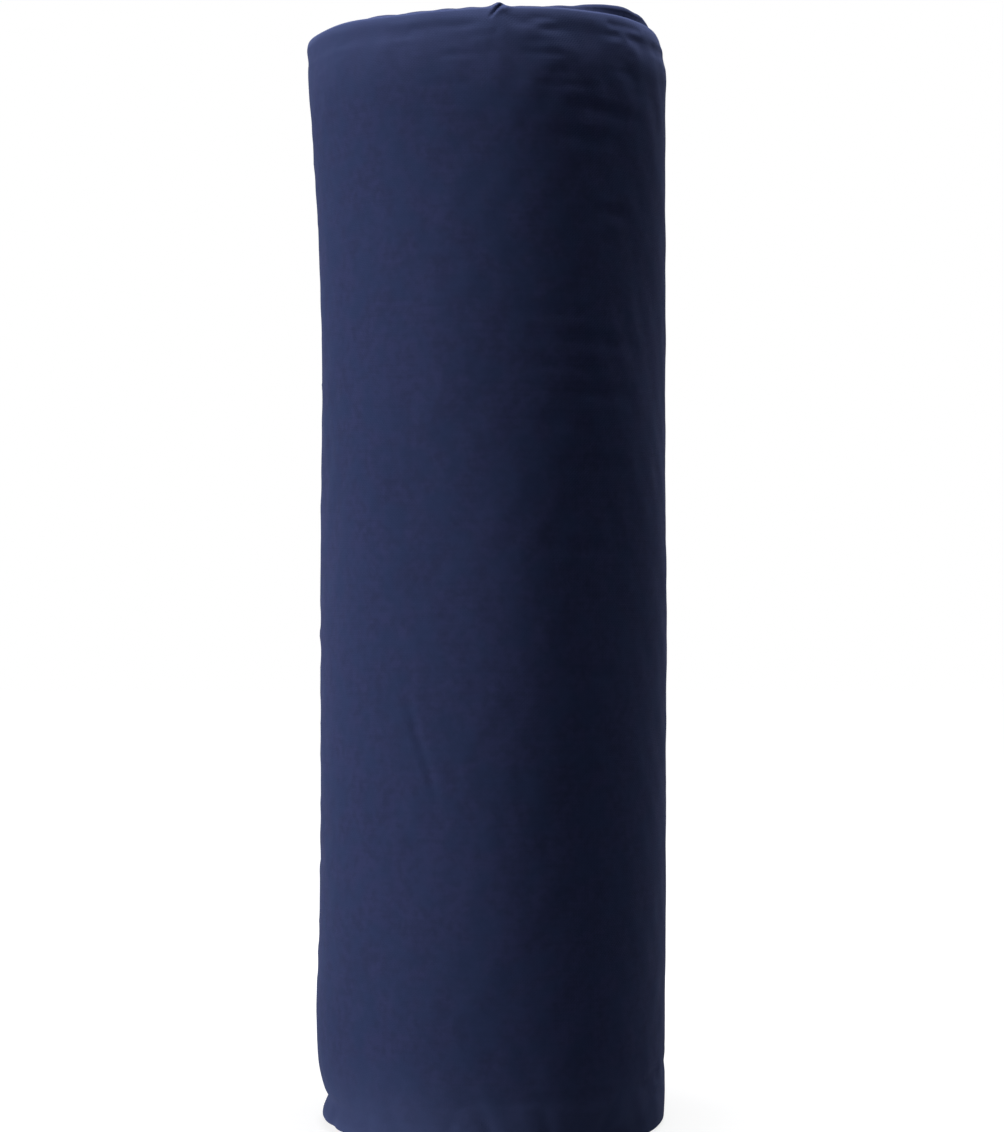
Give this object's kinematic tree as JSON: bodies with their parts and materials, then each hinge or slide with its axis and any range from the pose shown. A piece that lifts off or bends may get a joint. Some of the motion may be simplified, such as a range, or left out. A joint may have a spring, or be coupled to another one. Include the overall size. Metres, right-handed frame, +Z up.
{
  "type": "yoga bolster",
  "caption": "Round cotton yoga bolster standing on end, with a zipped cover, end panels, a webbing carry handle, an inner liner and a rolled batting core.",
  "frame": {"origin": "on the floor at the middle of the bottom end panel, on the bolster's long axis", "axes": "+Z up along the bolster's long axis; -Y is the front that the picture shows; the zip runs up the left side, just behind it, and the handle is on top"},
  "size_m": [0.2352, 0.2316, 0.7313],
  "materials": {
    "cover_cotton": "matte woven cotton, navy",
    "handle_webbing": "woven cotton webbing, navy",
    "zip_tape": "woven polyester zip tape, navy",
    "zip_teeth": "moulded acetal, satin",
    "zip_metal": "black enamelled zinc, satin",
    "liner_calico": "unbleached cotton calico",
    "cotton_batting": "loose cotton batting, rolled"
  },
  "bodies": {
    "bolster": {"cover_wrap": "cover_cotton", "cover_end_top": "cover_cotton", "cover_end_bottom": "cover_cotton", "handle_patch_left": "cover_cotton", "handle_patch_right": "cover_cotton", "carry_handle": "handle_webbing", "zip_tape_front": "zip_tape", "zip_tape_back": "zip_tape", "zip_teeth_front": "zip_teeth", "zip_teeth_back": "zip_teeth", "zip_stop_front": "zip_metal", "zip_stop_back": "zip_metal", "zip_end_stop": "zip_metal", "liner_wrap": "liner_calico", "liner_end_top": "liner_calico", "liner_end_bottom": "liner_calico", "batting_roll": "cotton_batting", "batting_pad_top": "cotton_batting", "batting_pad_bottom": "cotton_batting"},
    "slider": {"zip_slider": "zip_metal"},
    "pull": {"zip_pull": "zip_metal"}
  },
  "joints": [
    {"name": "zip_slide", "type": "slide", "parent": "bolster", "child": "slider", "axis": [0, 0, 1], "range_m": [0, 0.4794], "deforming": ["zip_teeth_front", "zip_teeth_back"]},
    {"name": "pull_swing", "type": "hinge", "parent": "slider", "child": "pull", "pos_m": [-0.11299, 0.02817, 0.1033], "axis": [0.2419, 0.9703, 0], "range_deg": [0, 170]}
  ]
}
